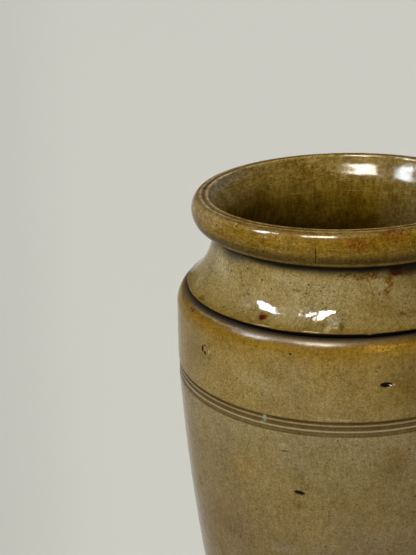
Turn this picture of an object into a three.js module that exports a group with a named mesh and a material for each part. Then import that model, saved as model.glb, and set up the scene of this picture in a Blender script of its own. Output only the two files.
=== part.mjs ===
// A wheel-thrown stoneware storage jar, standing on its foot at z = 0 with its axis on Z.
// It is built in five thrown sections, each turned from its own outline and luted to the next
// on a flat ring. All sizes are in millimetres.
import * as THREE from "three";

// Heights of the sections, from the foot up
const baseHeight = 22;
const wallHeight = 188.5;
const bandHeight = 43.1;
const neckHeight = 31.8;
const rimHeight = 15.6;

// Outer radii
const footRadius = 63;
const kneeRadius = 74.7;
const kneeLevel = 91;       // above the foot, where the straight taper turns into the belly's curve
const beltRadius = 84;      // the widest part, at the incised lines
const collarRadius = 77.8;
const neckRadius = 63.8;
const rollRadius = 74;

// Clay thickness
const floorThickness = 9;
const wallThickness = 7.4;
const seamThickness = 5.6;  // where the collar is luted to the shoulder
const neckThickness = 5.6;  // where the rim is luted to the neck

// Foot and floor
const footEdge = 2.2;       // rounding of the foot's outer edge
const coveRadius = 10;      // inner corner of the floor

// Incised lines round the belt; the lowest one lies on the seam
const lineCount = 3;
const linePitch = 3;
const lineWidth = 1.8;
const lineDepth = 0.5;

// Rounded shoulder, with a crest from which it falls in under the collar
const shoulderInset = 0.8;  // the shoulder stands in from the belt
const shoulderDrop = 7.4;   // from the crest down to where the band runs straight
const shoulderLean = 0.3;   // how far the band has turned in where the rounding tightens
const crestInset = 5;
const crestRise = 0.8;      // above the seam
const bandInset = 1.6;      // how much thicker the clay is just inside the shoulder

// The collar's sharp edge, undercut down to the seam, and its concave sweep up to the neck
const undercutDepth = 3;
const undercutHeight = 3.15;
const edgeRounding = 0.5;
const collarSweep = 0.64;   // share of its width that the collar runs in before it turns up
const collarLift = 0.19;    // how far it rises on that run, as a share of the neck's height
const neckSweep = 0.36;     // share of the neck's height that runs nearly straight up

// Throat, the narrowest place inside, and the flare of the neck below it
const throatDrop = 3.8;     // below the foot of the rim
const throatInset = 0.2;
const throatLength = 8;     // how far the throat runs before the inside opens out
const flareSpread = 0.45;   // share of the flare's width that it opens before it steepens
const flareRise = 0.24;     // how far above the seam it steepens, as a share of the neck's height

// Rolled rim
const rollHalfWidth = 4;
const rollDrop = 7.5;       // from the lip down to the widest place of the roll
const rollUndercut = 1.2;   // the roll's lowest place above the foot of the rim
const hollowWidth = 2.6;    // radius of the hollow where the roll springs from the neck
const lipRadius = 66.1;     // inner crest of the lip
const lipRounding = 1.4;
const funnelTopDrop = 2.1;  // from the lip down to where the funnel runs straight
const lipFall = 0.2;        // the outer edge of the lip below its inner edge
const lipLineInset = 1.5;   // from the lip's inner crest out to its fine line
const lipLineWidth = 1.8;
const lipLineDepth = 0.45;
const funnelLean = 33;      // degrees from upright, inside the rim
const funnelStraight = 0.6; // share of the funnel that runs straight before it turns upright

const roundness = 0.55;     // handle length of a curve that rounds a corner, as a share of its side
const facets = 64;
const samePoint = 1e-4;     // points closer than this are one point

// Levels that follow from the heights
const bandFoot = baseHeight + wallHeight;
const neckFoot = bandFoot + bandHeight;
const rimFoot = neckFoot + neckHeight;
const lipLevel = rimFoot + rimHeight;

// Radii that neighbouring sections share at their seams
const taper = (kneeRadius - footRadius) / kneeLevel;
const baseSeamRadius = footRadius + taper * baseHeight;
const beltSeamRadius = beltRadius - lineDepth;
const collarSeamRadius = collarRadius - undercutDepth;
const baseSeamInner = baseSeamRadius - wallThickness;
const beltInner = beltRadius - wallThickness;
const collarSeamInner = collarSeamRadius - seamThickness;
const neckSeamInner = neckRadius - neckThickness;

const at = (radius, level) => new THREE.Vector2(radius, level);

function cubic(start, first, second, end, steps) {
  return new THREE.CubicBezierCurve(start, first, second, end).getPoints(steps);
}

function quadratic(start, middle, end, steps) {
  return new THREE.QuadraticBezierCurve(start, middle, end).getPoints(steps);
}

// A stretch of an ellipse, its angles in degrees from straight out
function arc(centre, halfWidth, halfHeight, from, to, steps) {
  const start = THREE.MathUtils.degToRad(from);
  const end = THREE.MathUtils.degToRad(to);
  const ellipse = new THREE.EllipseCurve(
    centre.x, centre.y, halfWidth, halfHeight, start, end, end < start,
  );
  return ellipse.getPoints(steps);
}

// Turns an outline, given anticlockwise from its lower inner corner, into a closed section
function turned(name, outline, colour, roughness) {
  const points = outline.filter((point, i) => i === 0 || point.distanceTo(outline[i - 1]) > samePoint);
  const geometry = new THREE.LatheGeometry(points, facets).rotateX(Math.PI / 2);
  const clay = new THREE.MeshStandardMaterial({ color: colour, roughness, metalness: 0 });
  const mesh = new THREE.Mesh(geometry, clay);
  mesh.name = name;
  return mesh;
}

// The floor, its rounded foot edge outside and its cove inside
function base() {
  const edgeRadius = footRadius + taper * footEdge;
  const coveOuter = baseSeamInner - taper * (baseHeight - floorThickness - coveRadius);
  const outline = [
    at(0, 0),
    ...arc(at(edgeRadius - footEdge, footEdge), footEdge, footEdge, -90, 0, 4),
    at(baseSeamRadius, baseHeight),
    at(baseSeamInner, baseHeight),
    ...arc(at(coveOuter - coveRadius, floorThickness + coveRadius), coveRadius, coveRadius, 0, -90, 6),
    at(0, floorThickness),
  ];
  return turned("base", outline, 0xa08a66, 0.75);
}

// The belly's curve from the knee up to the belt, outside or inside the wall
function bellyCurve(inset, topLevel) {
  const knee = at(kneeRadius - inset, kneeLevel);
  const middleLevel = (kneeLevel + topLevel) / 2;
  const middle = at(knee.x + taper * (middleLevel - kneeLevel), middleLevel);
  return quadratic(knee, middle, at(beltRadius - inset, topLevel), 8);
}

function lowerWall() {
  const outline = [
    at(baseSeamInner, baseHeight),
    at(baseSeamRadius, baseHeight),
    ...bellyCurve(0, bandFoot - lineWidth / 2),
    at(beltSeamRadius, bandFoot),
    at(beltInner, bandFoot),
    ...bellyCurve(wallThickness, bandFoot).reverse(),
    at(baseSeamInner, baseHeight),
  ];
  return turned("lower_wall", outline, 0x877b5c, 0.35);
}

// The belt with its incised lines, and the shoulder that rounds over under the collar
function shoulderBand() {
  const lines = [];
  for (let i = 0; i < lineCount; i++) {
    const level = bandFoot + i * linePitch;
    if (i > 0) lines.push(at(beltRadius, level - lineWidth / 2));
    lines.push(at(beltSeamRadius, level), at(beltRadius, level + lineWidth / 2));
  }
  const shoulderRadius = beltRadius - shoulderInset;
  const crest = at(shoulderRadius - crestInset, neckFoot + crestRise);
  const shoulderLevel = crest.y - shoulderDrop;
  const outer = cubic(
    at(shoulderRadius, shoulderLevel),
    at(shoulderRadius - shoulderLean, shoulderLevel + shoulderDrop * roundness),
    at(crest.x + crestInset * roundness, crest.y),
    crest,
    7,
  );
  const fall = quadratic(
    crest,
    at(THREE.MathUtils.lerp(crest.x, collarSeamRadius, roundness), crest.y),
    at(collarSeamRadius, neckFoot),
    3,
  );
  const innerTop = shoulderRadius - wallThickness - bandInset;
  const inner = quadratic(
    at(collarSeamInner, neckFoot),
    at(innerTop, (neckFoot + shoulderLevel) / 2),
    at(innerTop + bandInset / 2, shoulderLevel - shoulderDrop),
    5,
  );
  const outline = [
    at(beltInner, bandFoot), ...lines, ...outer, ...fall, ...inner, at(beltInner, bandFoot),
  ];
  return turned("shoulder_band", outline, 0x96803f, 0.3);
}

// The concave collar, its sharp edge undercut above the seam, and the throat inside
function neckCollar() {
  const edgeLevel = neckFoot + undercutHeight;
  const outer = cubic(
    at(collarRadius - edgeRounding / 2, edgeLevel + edgeRounding / 2),
    at(THREE.MathUtils.lerp(collarRadius, neckRadius, collarSweep), edgeLevel + neckHeight * collarLift),
    at(neckRadius, rimFoot - neckHeight * neckSweep),
    at(neckRadius, rimFoot),
    10,
  );
  const throat = at(neckSeamInner - throatInset, rimFoot - throatDrop);
  const inner = cubic(
    throat,
    at(throat.x, throat.y - throatLength),
    at(THREE.MathUtils.lerp(throat.x, collarSeamInner, flareSpread), neckFoot + neckHeight * flareRise),
    at(collarSeamInner, neckFoot),
    8,
  );
  const outline = [
    at(collarSeamInner, neckFoot),
    at(collarSeamRadius, neckFoot),
    at(collarRadius - edgeRounding, edgeLevel - edgeRounding),
    at(collarRadius, edgeLevel),
    ...outer,
    at(neckSeamInner, rimFoot),
    ...inner,
  ];
  return turned("neck_collar", outline, 0x94865a, 0.3);
}

// The rolled rim: hollow under the roll, round outside, a fine line on the lip, funnel inside
function rimRoll() {
  const rollCentre = rollRadius - rollHalfWidth;
  const rollLevel = lipLevel - rollDrop;
  const rollFoot = rimFoot + rollUndercut;
  const lineMiddle = lipRadius + lipLineInset;
  const lipLevelAt = (radius) => lipLevel - lipFall * (radius - lipRadius) / (rollCentre - lipRadius);
  const funnelTop = at(lipRadius - lipRounding, lipLevel - funnelTopDrop);
  const funnelSlope = Math.tan(THREE.MathUtils.degToRad(funnelLean));
  const funnelFoot = at(neckSeamInner, funnelTop.y - (funnelTop.x - neckSeamInner) / funnelSlope);
  const bendTop = funnelTop.clone().lerp(funnelFoot, funnelStraight);
  const outline = [
    at(neckSeamInner, rimFoot),
    at(neckRadius, rimFoot),
    ...quadratic(at(neckRadius, rimFoot), at(neckRadius, rollFoot), at(neckRadius + hollowWidth, rollFoot), 3),
    ...arc(at(rollCentre, rollLevel), rollHalfWidth, rollLevel - rollFoot, -90, 0, 6),
    ...arc(at(rollCentre, rollLevel), rollHalfWidth, rollDrop - lipFall, 0, 90, 7),
    at(lineMiddle + lipLineWidth / 2, lipLevelAt(lineMiddle + lipLineWidth / 2)),
    at(lineMiddle, lipLevelAt(lineMiddle) - lipLineDepth),
    at(lineMiddle - lipLineWidth / 2, lipLevelAt(lineMiddle - lipLineWidth / 2)),
    ...quadratic(at(lipRadius, lipLevel), at(lipRadius - lipRounding / 2, lipLevel), funnelTop, 3),
    ...quadratic(bendTop, funnelFoot, at(neckSeamInner, rimFoot), 4),
  ];
  return turned("rim_roll", outline, 0x9a7a38, 0.28);
}

const jar = new THREE.Group();
jar.add(base(), lowerWall(), shoulderBand(), neckCollar(), rimRoll());

export default jar;
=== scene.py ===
from math import ceil, cos, pi, radians, sin

import bmesh
import bpy
import numpy as np
from mathutils import Matrix, Vector


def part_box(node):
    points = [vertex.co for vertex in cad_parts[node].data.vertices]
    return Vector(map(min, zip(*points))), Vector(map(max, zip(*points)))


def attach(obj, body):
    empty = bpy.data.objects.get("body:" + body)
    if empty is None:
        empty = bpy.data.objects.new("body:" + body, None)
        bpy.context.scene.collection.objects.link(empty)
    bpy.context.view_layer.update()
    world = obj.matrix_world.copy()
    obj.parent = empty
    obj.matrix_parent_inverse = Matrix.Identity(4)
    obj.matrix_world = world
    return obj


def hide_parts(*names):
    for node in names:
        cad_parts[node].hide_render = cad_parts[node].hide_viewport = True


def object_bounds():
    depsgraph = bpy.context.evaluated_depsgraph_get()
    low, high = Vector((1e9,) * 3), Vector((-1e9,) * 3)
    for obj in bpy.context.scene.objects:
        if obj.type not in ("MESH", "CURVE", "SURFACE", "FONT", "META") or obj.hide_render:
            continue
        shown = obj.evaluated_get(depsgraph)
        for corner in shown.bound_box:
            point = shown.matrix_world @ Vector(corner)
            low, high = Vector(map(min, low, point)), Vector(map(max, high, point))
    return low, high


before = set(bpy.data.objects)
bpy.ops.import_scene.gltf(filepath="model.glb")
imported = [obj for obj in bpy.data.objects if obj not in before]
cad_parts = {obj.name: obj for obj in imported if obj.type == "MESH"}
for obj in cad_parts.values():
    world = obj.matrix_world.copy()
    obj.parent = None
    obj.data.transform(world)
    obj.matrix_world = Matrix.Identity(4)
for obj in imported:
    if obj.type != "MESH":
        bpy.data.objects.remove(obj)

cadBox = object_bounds()
mm = 0.001
print("frame loaded with", len(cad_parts), "sections")


# A node's output. Sums and products of these add Math nodes to the tree.
class Flow:
    def __init__(self, graph, socket):
        self.graph = graph
        self.socket = socket

    def calc(self, operation, *others):
        return self.graph.calc(operation, self, *others)

    def __add__(self, other):
        return self.calc("ADD", other)

    def __sub__(self, other):
        return self.calc("SUBTRACT", other)

    def __rsub__(self, other):
        return self.graph.calc("SUBTRACT", other, self)

    def __mul__(self, other):
        return self.calc("MULTIPLY", other)

    def __truediv__(self, other):
        return self.calc("DIVIDE", other)

    def __rtruediv__(self, other):
        return self.graph.calc("DIVIDE", other, self)

    def __abs__(self):
        return self.calc("ABSOLUTE")

    __radd__ = __add__
    __rmul__ = __mul__

    def ease(self, low, high, start=0.0, end=1.0):  # start at low, end at high, and smooth between
        return self.graph.add("ShaderNodeMapRange", {"interpolation_type": "SMOOTHSTEP"}, {
            "Value": self, "From Min": low, "From Max": high, "To Min": start, "To Max": end})


# A node tree that is filled by one method.
class Graph:
    def __init__(self, tree):
        self.tree = tree

    def add(self, kind, settings=None, inputs=None, output=0):
        node = self.tree.nodes.new(kind)
        for name, value in (settings or {}).items():
            if name == "stops":
                self.fillRamp(node.color_ramp, value)
            else:
                setattr(node, name, value)
        for key, value in (inputs or {}).items():
            socket = node.inputs[key]
            if isinstance(value, Flow):
                self.tree.links.new(value.socket, socket)
            else:
                socket.default_value = value
        if output is None:
            return node
        return Flow(self, node.outputs[output])

    def fillRamp(self, ramp, stops):
        while len(ramp.elements) < len(stops):
            ramp.elements.new(0.5)
        for element, (place, colour) in zip(ramp.elements, stops):
            element.position, element.color = place, colour

    def calc(self, operation, *terms):
        return self.add("ShaderNodeMath", {"operation": operation}, dict(enumerate(terms)))

    def blend(self, share, a, b, mode="MIX"):  # 6, 7 and 2 are the Mix node's colours
        settings = {"data_type": "RGBA", "blend_type": mode}
        return self.add("ShaderNodeMix", settings, {0: share, 6: a, 7: b}, 2)

    def vector(self, x=0.0, y=0.0, z=0.0):
        return self.add("ShaderNodeCombineXYZ", None, {"X": x, "Y": y, "Z": z})

    def parts(self, flow):
        node = self.add("ShaderNodeSeparateXYZ", None, {"Vector": flow}, None)
        return [Flow(self, socket) for socket in node.outputs]


def newMaterial(name):
    material = bpy.data.materials.new(name)
    material.use_nodes = True
    return material, material.node_tree.nodes["Principled BSDF"]


def mixed(a, b, share):
    return a + (b - a) * share


# Camera, at the photograph's viewing angle
view = {
    "distance": 577.9 * mm,        # from the jar's axis
    "height": 478.3 * mm,          # above the table
    "turn": radians(-6.70),        # aims left of the axis
    "dip": radians(21.03),
    "roll": radians(-2.57),
    "lens": 80.04,
    "sensor": 36.0,
}


def addCamera():
    turn, dip, roll = view["turn"], view["dip"], view["roll"]
    ahead = Vector((sin(turn) * cos(dip), cos(turn) * cos(dip), -sin(dip)))
    level = Vector((cos(turn), -sin(turn), 0))
    upright = level.cross(ahead)
    right = cos(roll) * level + sin(roll) * upright
    up = cos(roll) * upright - sin(roll) * level
    data = bpy.data.cameras.new("photoView")
    data.lens, data.sensor_width = view["lens"], view["sensor"]
    camera = bpy.data.objects.new("photoView", data)
    place = Vector((0, -view["distance"], view["height"]))
    camera.matrix_world = Matrix.Translation(place) @ Matrix((right, up, -ahead)).transposed().to_4x4()
    bpy.context.collection.objects.link(camera)
    bpy.context.scene.camera = camera


# Floor and world
stage = {
    "floorSize": 24.0, "floorColour": (0.58, 0.576, 0.53, 1), "floorRoughness": 0.9, "floorSpecular": 0.1,
    "floorGlow": (0.88, 0.875, 0.80, 1), "glowShare": 0.45,  # what the camera and the gloss see besides
    "dimmed": 0.8, "dimFrom": -0.20, "dimTo": -0.35,         # it dims toward the left, by side / distance
    "roomDim": (0.085, 0.087, 0.090, 1),                     # the soft light from all round, at its weakest
    # painted shade on the floor: its glow dims toward the left
    "roomBright": (0.32, 0.314, 0.300, 1),                   # and at its strongest
    "brightAround": -122, "brightUp": 14,                    # where it is strongest, in degrees
    "aim": 0.85,                                             # the lamps face this share of the jar's height
}
# Each lamp: its direction from the rim in degrees round from +X and up, distance, size, radiance, colour,
# and whether it shades the clay or shows in the gloss
lamps = {
    "keyLight": {"around": -116, "up": 33, "away": 8.0, "size": (5.0, 3.6), "radiance": 7.5,
                 "colour": (1.0, 0.985, 0.95), "shades": True, "glints": False},
    "backLight": {"around": 72, "up": 30, "away": 8.0, "size": (5.0, 3.6), "radiance": 2.6,
                  "colour": (1.0, 0.985, 0.95), "shades": True, "glints": False},
    "windowLight": {"around": -162, "up": 41, "away": 9.0, "size": (1.35, 2.50), "radiance": 190.0,
                    "colour": (0.84, 0.92, 1.0), "shades": False, "glints": True},
    "lampLight": {"around": -113, "up": 56, "away": 9.0, "size": (2.70, 2.20), "radiance": 200.0,
                  "colour": (1.0, 0.93, 0.80), "shades": False, "glints": True},
}


def outwards(around, up):  # a direction in degrees as a vector
    around, up = radians(around), radians(up)
    return Vector((cos(up) * cos(around), cos(up) * sin(around), sin(up)))


def addFloor():
    half = stage["floorSize"] / 2
    mesh = bpy.data.meshes.new("floor")
    corners = [(-half, -half, 0), (half, -half, 0), (half, half, 0), (-half, half, 0)]
    mesh.from_pydata(corners, [], [(0, 1, 2, 3)])
    floor = bpy.data.objects.new("floor", mesh)
    bpy.context.collection.objects.link(floor)
    material, paint = newMaterial("floorPaint")
    paint.inputs["Base Color"].default_value = stage["floorColour"]
    paint.inputs["Roughness"].default_value = stage["floorRoughness"]
    paint.inputs["Specular IOR Level"].default_value = stage["floorSpecular"]
    graph = Graph(material.node_tree)
    side, back, _ = graph.parts(graph.add("ShaderNodeTexCoord", output="Object"))
    leftward = side / (back + view["distance"])
    strength = leftward.ease(stage["dimFrom"], stage["dimTo"], 1.0, stage["dimmed"])
    glow = graph.add("ShaderNodeEmission", None, {"Color": stage["floorGlow"], "Strength": strength})
    path = graph.add("ShaderNodeLightPath", output=None)
    rays = ("Is Camera Ray", "Is Glossy Ray", "Is Transmission Ray")
    share = sum(Flow(graph, path.outputs[ray]) for ray in rays) * stage["glowShare"]
    mix = graph.add("ShaderNodeMixShader", None, {0: share, 1: Flow(graph, paint.outputs[0]), 2: glow})
    material.node_tree.links.new(mix.socket, material.node_tree.nodes["Material Output"].inputs["Surface"])
    mesh.materials.append(material)


def addWorld():
    world = bpy.data.worlds.new("studio")
    world.use_nodes = True
    graph = Graph(world.node_tree)
    where = graph.add("ShaderNodeTexCoord", output="Generated")
    bright = outwards(stage["brightAround"], stage["brightUp"])
    facing = graph.add("ShaderNodeVectorMath", {"operation": "DOT_PRODUCT"}, {0: where, 1: bright}, "Value")
    sky = graph.blend(facing.ease(-1.0, 1.0), stage["roomDim"], stage["roomBright"])
    world.node_tree.links.new(sky.socket, world.node_tree.nodes["Background"].inputs["Color"])
    bpy.context.scene.world = world


def addLamp(name, lamp, aim):
    data = bpy.data.lights.new(name, "AREA")
    data.shape = "RECTANGLE"
    data.size, data.size_y = lamp["size"]
    data.energy = lamp["radiance"] * pi * lamp["size"][0] * lamp["size"][1]
    data.color = lamp["colour"]
    outward = outwards(lamp["around"], lamp["up"])
    light = bpy.data.objects.new(name, data)
    light.matrix_world = (Matrix.Translation(aim + outward * lamp["away"])
                          @ outward.to_track_quat("Z", "Y").to_matrix().to_4x4())
    light.visible_diffuse, light.visible_glossy = lamp["shades"], lamp["glints"]
    bpy.context.collection.objects.link(light)


addCamera()
addFloor()
addWorld()
for lampName, lamp in lamps.items():
    addLamp(lampName, lamp, Vector((0, 0, cadBox[1][2] * stage["aim"])))
bpy.context.scene.view_settings.view_transform = "Standard"
print("camera and stage set")


# Stretches of an outline are lists of (radius, level), a gap apart.
def evenly(points, gap):
    points = np.array(points, float)
    run = np.concatenate([[0], np.cumsum(np.hypot(*np.diff(points, axis=0).T))])
    count = max(1, ceil(run[-1] / gap))
    places = np.linspace(0, run[-1], count + 1)
    return [(np.interp(p, run, points[:, 0]), np.interp(p, run, points[:, 1])) for p in places]


def bezier(corners, gap, samples=60):
    hold = []
    for t in np.linspace(0, 1, samples + 1):
        points = [np.array(c, float) for c in corners]
        while len(points) > 1:
            points = [a + (b - a) * t for a, b in zip(points, points[1:])]
        hold.append(points[0])
    return evenly(hold, gap)


def arc(centre, halfWidth, halfHeight, start, end, gap, samples=60):
    angles = np.radians(np.linspace(start, end, samples + 1))
    return evenly([(centre[0] + halfWidth * cos(a), centre[1] + halfHeight * sin(a)) for a in angles], gap)


# An outline is a list of (radius, inside, level), turned anticlockwise from the lower inner corner.
def joined(outside, inside):  # the stretches of each side, one after the other
    points = []
    for flag, stretches in ((0.0, outside), (1.0, inside)):
        for stretch in stretches:
            for radius, level in stretch:
                if not points or abs(radius - points[-1][0]) + abs(level - points[-1][2]) > samePoint:
                    points.append((float(radius), flag, float(level)))
    return points


# Levels and radii from the frame
boxes = {name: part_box(name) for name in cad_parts}
bandFoot = boxes["shoulder_band"][0][2]
neckFoot = boxes["neck_collar"][0][2]
rimFoot = boxes["rim_roll"][0][2]
lipLevel = boxes["rim_roll"][1][2]
baseTop = boxes["base"][1][2]
beltRadius = boxes["shoulder_band"][1][0]
collarRadius = boxes["neck_collar"][1][0]
rollRadius = boxes["rim_roll"][1][0]
baseSeamRadius = boxes["base"][1][0]

samePoint = 0.01 * mm  # points of an outline closer than this are one
seamGap = 2 * mm  # gap of the points on the flat seams
# In each dictionary the values named Gap, fine, finest and coarse are gaps between the outline's points.
wall = {
    "footRadius": 63 * mm, "kneeRadius": 74.7 * mm, "kneeLevel": 91 * mm,
    "thickness": 7.4 * mm, "floor": 9 * mm, "footEdge": 2.2 * mm, "cove": 10 * mm,
    "footGap": 1.6 * mm, "edgeGap": 0.4 * mm, "fine": 1.0 * mm, "coarse": 6 * mm, "segments": 400,
}
# The incised lines, from the lowest up: height above the seam, width, depth and how dark the glaze pools
lines = {
    "cuts": ((0.1 * mm, 1.10 * mm, 0.55 * mm, 0.48), (3.2 * mm, 1.15 * mm, 0.65 * mm, 0.62),
             (5.85 * mm, 0.75 * mm, 0.65 * mm, 0.80)),
    # the pale crests are thin glaze with a painted highlight
    "ridges": ((1.75 * mm, 0.75), (4.6 * mm, 0.45)),      # thin pale crests between them: height and share
    "scratch": -0.75 * mm,                                # a thin dark line at their foot
    "middle": 3.2 * mm, "top": 6.0 * mm, "reach": 2.85 * mm, "finest": 0.28 * mm,
}
shoulder = {
    "inset": 0.8 * mm, "drop": 7.4 * mm, "lean": 0.3 * mm, "crestInset": 5 * mm, "crestRise": 0.8 * mm,
    "bandInset": 1.6 * mm, "roundness": 0.42, "innerGap": 1.6 * mm, "fine": 0.75 * mm, "finest": 0.4 * mm,
    "coarse": 5 * mm, "segments": 640,
}
collar = {
    "neckRadius": 63.8 * mm, "neckThickness": 5.6 * mm, "seamThickness": 5.6 * mm,
    "undercut": 3 * mm, "undercutHeight": 3.15 * mm, "edge": 0.5 * mm, "sweep": 0.64, "lift": 0.19,
    "edgeOut": 0.25, "edgeSink": 0.1, "edgeIn": 0.6,      # how its edge is rounded, in shares of edge
    "neckSweep": 0.36, "throatDrop": 3.8 * mm, "throatInset": 0.2 * mm, "throatLength": 8 * mm,
    "flareSpread": 0.45, "flareRise": 0.24, "undercutGap": 0.4 * mm, "edgeGap": 0.2 * mm,
    "throatGap": 0.5 * mm, "fine": 0.5 * mm, "coarse": 1.1 * mm, "segments": 640,
}
roll = {
    "halfWidth": 4 * mm, "drop": 7.5 * mm, "undercut": 1.2 * mm, "hollow": 2.6 * mm,
    "lipRadius": 66.1 * mm, "lipRounding": 1.4 * mm, "funnelTop": 2.1 * mm, "lipFall": 0.2 * mm,
    "lineInset": 1.5 * mm, "lineWidth": 0.55 * mm, "lineDepth": 0.42 * mm,
    "bend": 0.42, "bendDrop": 6.0 * mm, "throatDrop": 2.7 * mm,
    "hollowGap": 0.35 * mm, "crestGap": 0.3 * mm, "fine": 0.42 * mm, "finest": 0.2 * mm, "segments": 640,
}

taper = (wall["kneeRadius"] - wall["footRadius"]) / wall["kneeLevel"]
baseSeamInner = baseSeamRadius - wall["thickness"]
beltInner = beltRadius - wall["thickness"]
shoulderRadius = beltRadius - shoulder["inset"]
collarSeamRadius = collarRadius - collar["undercut"]
collarSeamInner = collarSeamRadius - collar["seamThickness"]
neckRadius = collar["neckRadius"]
neckInner = neckRadius - collar["neckThickness"]
edgeLevel = neckFoot + collar["undercutHeight"]
linesTop = bandFoot + lines["top"]


def incised(points):  # presses the incised lines into an outline
    cut = []
    for radius, level in points:
        depth = sum(deep * np.exp(-((level - bandFoot - lift) / wide) ** 2)
                    for lift, wide, deep, _ in lines["cuts"])
        cut.append((radius - depth, level))
    return cut


beltSeam = incised([(beltRadius, bandFoot)])[0]  # where the belt's outside meets its seam


def baseOutline():
    edge, floor, cove = wall["footEdge"], wall["floor"], wall["cove"]
    edgeRadius = wall["footRadius"] + taper * edge
    coveRadius = baseSeamInner - taper * (baseTop - floor - cove)
    return joined([
        evenly([(0, 0), (edgeRadius - edge, 0)], wall["footGap"]),
        arc((edgeRadius - edge, edge), edge, edge, -90, 0, wall["edgeGap"]),
        evenly([(edgeRadius, edge), (baseSeamRadius, baseTop)], wall["fine"]),
    ], [
        evenly([(baseSeamRadius, baseTop), (baseSeamInner, baseTop)], seamGap),
        arc((coveRadius - cove, floor + cove), cove, cove, 0, -90, wall["fine"]),
        evenly([(coveRadius - cove, floor), (0, floor)], seamGap),
    ])


def belly(inset, top, gap):  # from the knee up to the belt
    knee = (wall["kneeRadius"] - inset, wall["kneeLevel"])
    rise = (top - wall["kneeLevel"]) / 2
    return bezier([knee, (knee[0] + taper * rise, knee[1] + rise), (beltRadius - inset, top)], gap)


def wallOutline():
    fine, coarse = wall["fine"], wall["coarse"]
    top = bandFoot - lines["reach"]
    knee = (wall["kneeRadius"], wall["kneeLevel"])
    innerKnee = (wall["kneeRadius"] - wall["thickness"], wall["kneeLevel"])
    return joined([
        evenly([(baseSeamRadius, baseTop), knee], fine),
        belly(0, top, fine),
        incised(evenly([(beltRadius, top), (beltRadius, bandFoot)], lines["finest"])),
    ], [
        evenly([beltSeam, (beltInner, bandFoot)], seamGap),
        belly(wall["thickness"], bandFoot, coarse)[::-1],
        evenly([innerKnee, (baseSeamInner, baseTop)], coarse),
        evenly([(baseSeamInner, baseTop), (baseSeamRadius, baseTop)], seamGap),
    ])


def bandOutline():
    finest, handle = shoulder["finest"], shoulder["roundness"]
    incisedTop = linesTop + lines["reach"]
    crest = (shoulderRadius - shoulder["crestInset"], neckFoot + shoulder["crestRise"])
    shoulderLevel = crest[1] - shoulder["drop"]
    innerTop = shoulderRadius - wall["thickness"] - shoulder["bandInset"]
    innerFoot = (innerTop + shoulder["bandInset"] / 2, shoulderLevel - shoulder["drop"])
    return joined([
        incised(evenly([(beltRadius, bandFoot), (beltRadius, incisedTop)], lines["finest"])),
        evenly([(beltRadius, incisedTop), (shoulderRadius, shoulderLevel)], shoulder["fine"]),
        bezier([(shoulderRadius, shoulderLevel),
                (shoulderRadius - shoulder["lean"], shoulderLevel + shoulder["drop"] * handle),
                (crest[0] + shoulder["crestInset"] * handle, crest[1]), crest], finest),
        bezier([crest, (mixed(crest[0], collarSeamRadius, handle), crest[1]),
                (collarSeamRadius, neckFoot)], finest),
    ], [
        evenly([(collarSeamRadius, neckFoot), (collarSeamInner, neckFoot)], seamGap),
        bezier([(collarSeamInner, neckFoot), (innerTop, (neckFoot + shoulderLevel) / 2), innerFoot],
               shoulder["innerGap"]),
        evenly([innerFoot, (beltInner, bandFoot)], shoulder["coarse"]),
        evenly([(beltInner, bandFoot), beltSeam], seamGap),
    ])


def collarOutline():
    edge, height = collar["edge"], rimFoot - neckFoot
    under = (collarRadius - edge, edgeLevel - edge)
    tip = (collarRadius + edge * collar["edgeOut"], edgeLevel - edge * collar["edgeSink"])
    start = (collarRadius - edge * collar["edgeIn"], edgeLevel + edge)
    throat = (neckInner - collar["throatInset"], rimFoot - collar["throatDrop"])
    flare = mixed(throat[0], collarSeamInner, collar["flareSpread"])
    sweep = mixed(collarRadius, neckRadius, collar["sweep"])
    return joined([
        evenly([(collarSeamRadius, neckFoot), under], collar["undercutGap"]),
        bezier([under, tip, start], collar["edgeGap"]),
        bezier([start, (sweep, edgeLevel + height * collar["lift"]),
                (neckRadius, rimFoot - height * collar["neckSweep"]), (neckRadius, rimFoot)],
               collar["fine"]),
    ], [
        evenly([(neckRadius, rimFoot), (neckInner, rimFoot)], seamGap),
        evenly([(neckInner, rimFoot), throat], collar["throatGap"]),
        bezier([throat, (throat[0], throat[1] - collar["throatLength"]),
                (flare, neckFoot + height * collar["flareRise"]), (collarSeamInner, neckFoot)],
               collar["coarse"]),
        evenly([(collarSeamInner, neckFoot), (collarSeamRadius, neckFoot)], seamGap),
    ])


def lipOutline(outer, inner):  # from the roll to the inner crest, with its fine line
    middle = roll["lipRadius"] + roll["lineInset"]
    lip = []
    for radius, level in evenly([outer, inner], roll["finest"]):
        depth = roll["lineDepth"] * np.exp(-((radius - middle) / roll["lineWidth"]) ** 2)
        lip.append((radius, level - depth))
    return lip


def rimOutline():
    half, drop, fall, lipRadius = roll["halfWidth"], roll["drop"], roll["lipFall"], roll["lipRadius"]
    centre = (rollRadius - half, lipLevel - drop)
    rollFoot = rimFoot + roll["undercut"]
    funnelTop = (lipRadius - roll["lipRounding"], lipLevel - roll["funnelTop"])
    bend = (mixed(funnelTop[0], neckInner, roll["bend"]), funnelTop[1] - roll["bendDrop"])
    throatTop = (neckInner, bend[1] - roll["throatDrop"])
    return joined([
        bezier([(neckRadius, rimFoot), (neckRadius, rollFoot), (neckRadius + roll["hollow"], rollFoot)],
               roll["hollowGap"]),
        arc(centre, half, centre[1] - rollFoot, -90, 0, roll["fine"]),
        arc(centre, half, drop - fall, 0, 90, roll["fine"]),
        lipOutline((centre[0], lipLevel - fall), (lipRadius, lipLevel)),
    ], [
        bezier([(lipRadius, lipLevel), (lipRadius - roll["lipRounding"] / 2, lipLevel), funnelTop],
               roll["crestGap"]),
        bezier([funnelTop, bend, throatTop, (neckInner, rimFoot)], roll["fine"]),
        evenly([(neckInner, rimFoot), (neckRadius, rimFoot)], seamGap),
    ])


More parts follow.
